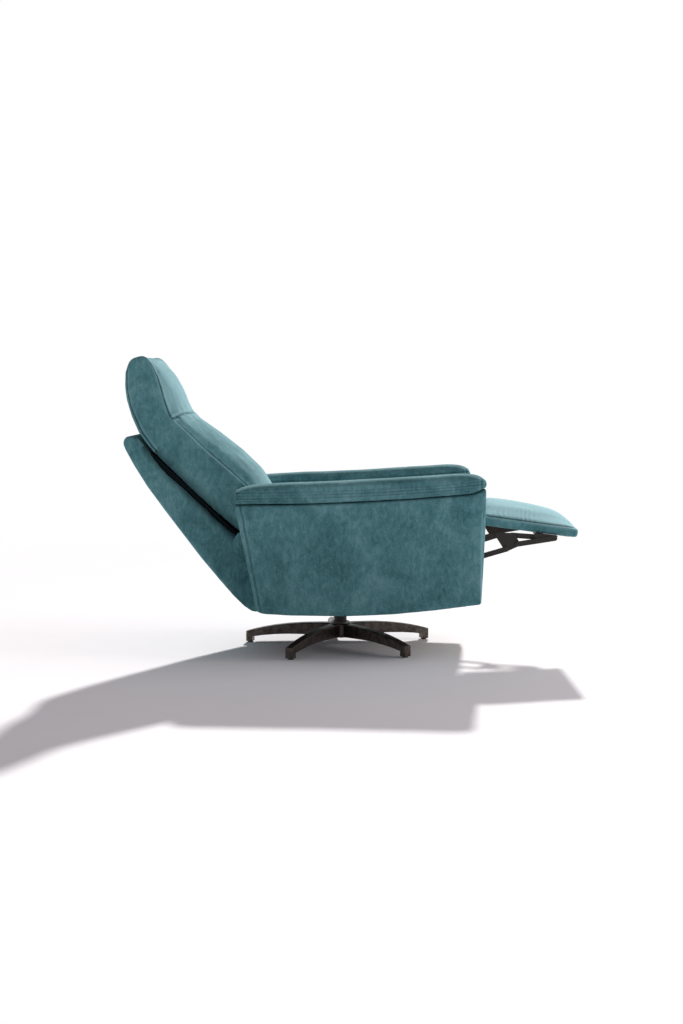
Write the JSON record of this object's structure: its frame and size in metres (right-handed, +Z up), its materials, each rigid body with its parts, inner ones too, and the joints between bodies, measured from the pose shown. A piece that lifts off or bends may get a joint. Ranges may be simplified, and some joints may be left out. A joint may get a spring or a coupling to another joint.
{
  "type": "swivel recliner chair",
  "caption": "Upholstered push-back recliner with padded arms and a folding footrest, turning on a low star base.",
  "frame": {"origin": "on the floor, at the middle of the whole chair as seen from above", "axes": "+X towards the sitter's feet, +Y towards the sitter's left, +Z up"},
  "size_m": [1.5699, 0.746, 1.0419],
  "materials": {
    "base_metal": "dark bronze lacquer on cast metal, half gloss",
    "black_steel": "brown-black paint, half gloss",
    "bare_steel": "plain oiled steel",
    "frame_wood": "planed beech, unfinished",
    "dust_cloth": "black spun cloth",
    "glide_plastic": "black, moulded",
    "seat_fabric": "brushed teal upholstery",
    "arm_fabric": "brushed teal upholstery",
    "back_fabric": "brushed teal upholstery",
    "footrest_fabric": "brushed teal upholstery"
  },
  "bodies": {
    "base": {"star_base": "base_metal", "foot_glide_1": "glide_plastic", "foot_glide_2": "glide_plastic", "foot_glide_3": "glide_plastic", "foot_glide_4": "glide_plastic", "foot_glide_5": "glide_plastic", "centre_post": "black_steel", "bearing_race": "bare_steel", "post_retainer": "bare_steel"},
    "seat_body": {"swivel_housing": "black_steel", "swivel_plate": "black_steel", "cross_rail_front": "frame_wood", "cross_rail_rear": "frame_wood", "seat_rail_front": "frame_wood", "seat_rail_rear": "frame_wood", "seat_rail_left": "frame_wood", "seat_rail_right": "frame_wood", "seat_spring_1": "bare_steel", "seat_spring_2": "bare_steel", "seat_spring_3": "bare_steel", "seat_spring_4": "bare_steel", "seat_spring_5": "bare_steel", "lower_rail_front": "frame_wood", "lower_rail_rear": "frame_wood", "dust_cover": "dust_cloth", "seat_cushion": "seat_fabric", "arm_left": "arm_fabric", "arm_right": "arm_fabric", "arm_pad_left": "arm_fabric", "arm_pad_right": "arm_fabric", "mechanism_plate_left": "black_steel", "mechanism_plate_right": "black_steel", "swing_pin_lower_left": "bare_steel", "swing_pin_lower_right": "bare_steel", "swing_pin_upper_left": "bare_steel", "swing_pin_upper_right": "bare_steel", "back_hinge_pin_left": "bare_steel", "back_hinge_pin_right": "bare_steel"},
    "backrest": {"back_cushion": "back_fabric", "back_shell": "back_fabric", "back_frame": "black_steel", "back_hinge_arm_left": "black_steel", "back_hinge_arm_right": "black_steel"},
    "lower_swing": {"lower_swing_link_left": "black_steel", "lower_swing_link_right": "black_steel"},
    "upper_swing": {"upper_swing_link_left": "black_steel", "upper_swing_link_right": "black_steel", "torque_tube": "black_steel"},
    "mid_plates": {"mid_plate_left": "black_steel", "mid_plate_right": "black_steel"},
    "front_lower": {"front_lower_link_left": "black_steel", "front_lower_link_right": "black_steel"},
    "footrest": {"footrest_bracket_left": "black_steel", "footrest_bracket_right": "black_steel", "footrest_cross_tube": "black_steel", "footrest_board": "frame_wood", "footrest_pad": "footrest_fabric"},
    "front_upper": {"front_upper_link_left": "black_steel", "front_upper_link_right": "black_steel"}
  },
  "joints": [
    {"name": "swivel", "type": "hinge", "parent": "base", "child": "seat_body", "pos_m": [-0.0381, 0, 0], "axis": [0, 0, 1], "continuous": true},
    {"name": "recline", "type": "hinge", "parent": "seat_body", "child": "backrest", "pos_m": [-0.1761, 0, 0.25], "axis": [0, 1, 0], "range_deg": [0, 26]},
    {"name": "footrest", "type": "hinge", "parent": "seat_body", "child": "lower_swing", "pos_m": [0.4119, 0, 0.34], "axis": [0, 1, 0], "range_deg": [0, 169]},
    {"name": "upper_swing_turn", "type": "hinge", "parent": "seat_body", "child": "upper_swing", "pos_m": [0.3829, 0, 0.385], "axis": [0, 1, 0], "range_deg": [0, 122.63]},
    {"name": "mid_plate_turn", "type": "hinge", "parent": "lower_swing", "child": "mid_plates", "pos_m": [0.5349, 0, 0.376], "axis": [0, 1, 0], "range_deg": [-26.24, 0]},
    {"name": "front_lower_turn", "type": "hinge", "parent": "mid_plates", "child": "front_lower", "pos_m": [0.5719, 0, 0.393], "axis": [0, 1, 0], "range_deg": [-133.7, 0]},
    {"name": "footrest_turn", "type": "hinge", "parent": "front_lower", "child": "footrest", "pos_m": [0.6819, 0, 0.41], "axis": [0, 1, 0], "range_deg": [0, 74.44]},
    {"name": "front_upper_turn", "type": "hinge", "parent": "footrest", "child": "front_upper", "pos_m": [0.6479, 0, 0.415], "axis": [0, 1, 0], "range_deg": [-117.61, 0]}
  ],
  "couplings": [
    {"joint": "upper_swing_turn", "follows": "footrest", "ratio": 0.72269},
    {"joint": "mid_plate_turn", "follows": "footrest", "ratio": -0.15233},
    {"joint": "front_lower_turn", "follows": "footrest", "ratio": -0.78815},
    {"joint": "footrest_turn", "follows": "footrest", "ratio": 0.43753},
    {"joint": "front_upper_turn", "follows": "footrest", "ratio": -0.69294}
  ]
}
